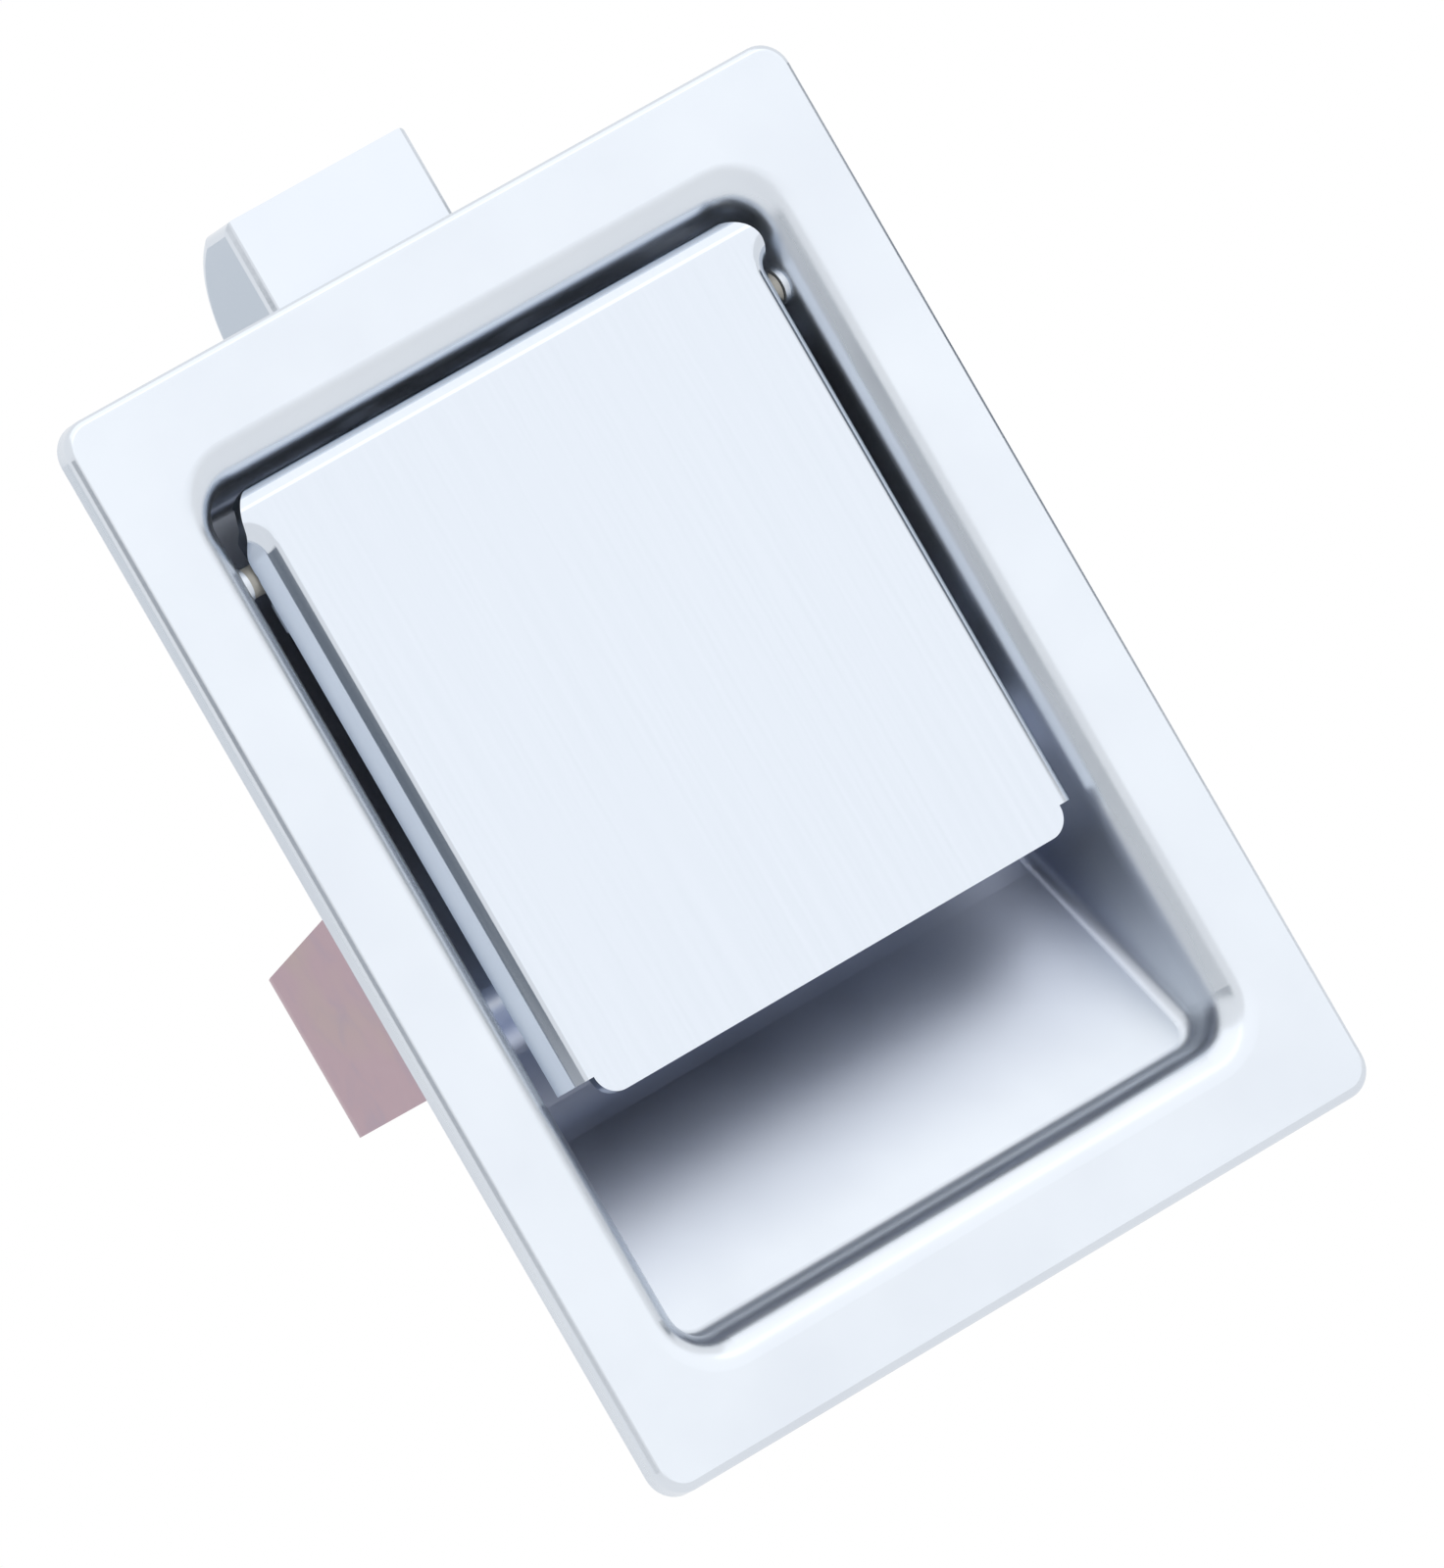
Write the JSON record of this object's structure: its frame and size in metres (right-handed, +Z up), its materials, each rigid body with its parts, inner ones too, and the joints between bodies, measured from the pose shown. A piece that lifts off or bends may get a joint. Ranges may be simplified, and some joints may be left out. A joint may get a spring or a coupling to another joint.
{
  "type": "flush paddle latch",
  "caption": "Flush pull latch for a panel: a chromed dished pan, a hinged pull paddle and a sprung slam bolt behind, clamped by a strap.",
  "frame": {"origin": "middle of the flange's back face, where it lies on the panel, at the middle of the cut-out", "axes": "+X to the right seen from the front, +Y into the panel, +Z up, the way the bolt points"},
  "size_m": [0.084, 0.0343, 0.1217],
  "materials": {
    "chrome_casting": "bright chrome plate on a polished zinc casting",
    "chrome_sheet": "bright chrome plate on formed sheet",
    "zinc_plate": "clear zinc plate on pressed steel",
    "iridescent_zinc": "zinc plate with a pinkish passivated film",
    "bright_steel": "bright zinc-plated steel",
    "spring_steel": "drawn spring wire",
    "nylon": "natural moulded nylon"
  },
  "bodies": {
    "frame": {"pan": "chrome_casting", "hinge_pin": "bright_steel", "hinge_pin_clip": "spring_steel", "hinge_bush_left": "nylon", "hinge_bush_right": "nylon", "paddle_spring_left": "spring_steel", "paddle_spring_right": "spring_steel", "bolt_housing": "zinc_plate", "housing_screws": "bright_steel", "bolt_spring_left": "spring_steel", "bolt_spring_right": "spring_steel", "spring_rod_left": "bright_steel", "spring_rod_right": "bright_steel", "mounting_bracket": "iridescent_zinc", "bracket_screws": "bright_steel", "bracket_washers": "bright_steel", "bracket_lock_washers": "bright_steel"},
    "paddle": {"paddle": "chrome_sheet", "release_arm": "zinc_plate"},
    "bolt": {"bolt": "chrome_casting"}
  },
  "joints": [
    {"name": "paddle_hinge", "type": "hinge", "parent": "frame", "child": "paddle", "pos_m": [0, 0.0022, 0.0356], "axis": [-1, 0, 0], "range_deg": [0, 37], "stiffness_Nm_per_rad": 0.12, "springref_deg": -22.92, "deforming": ["paddle_spring_left", "paddle_spring_right"]},
    {"name": "bolt_slide", "type": "slide", "parent": "frame", "child": "bolt", "axis": [0, 0, -1], "range_m": [0, 0.01065], "stiffness_N_per_m": 700, "springref_m": -0.008, "deforming": ["bolt_spring_left", "bolt_spring_right"]}
  ],
  "couplings": [
    {"joint": "paddle_hinge", "follows": "bolt_slide", "rad_per_m": 60.606}
  ]
}
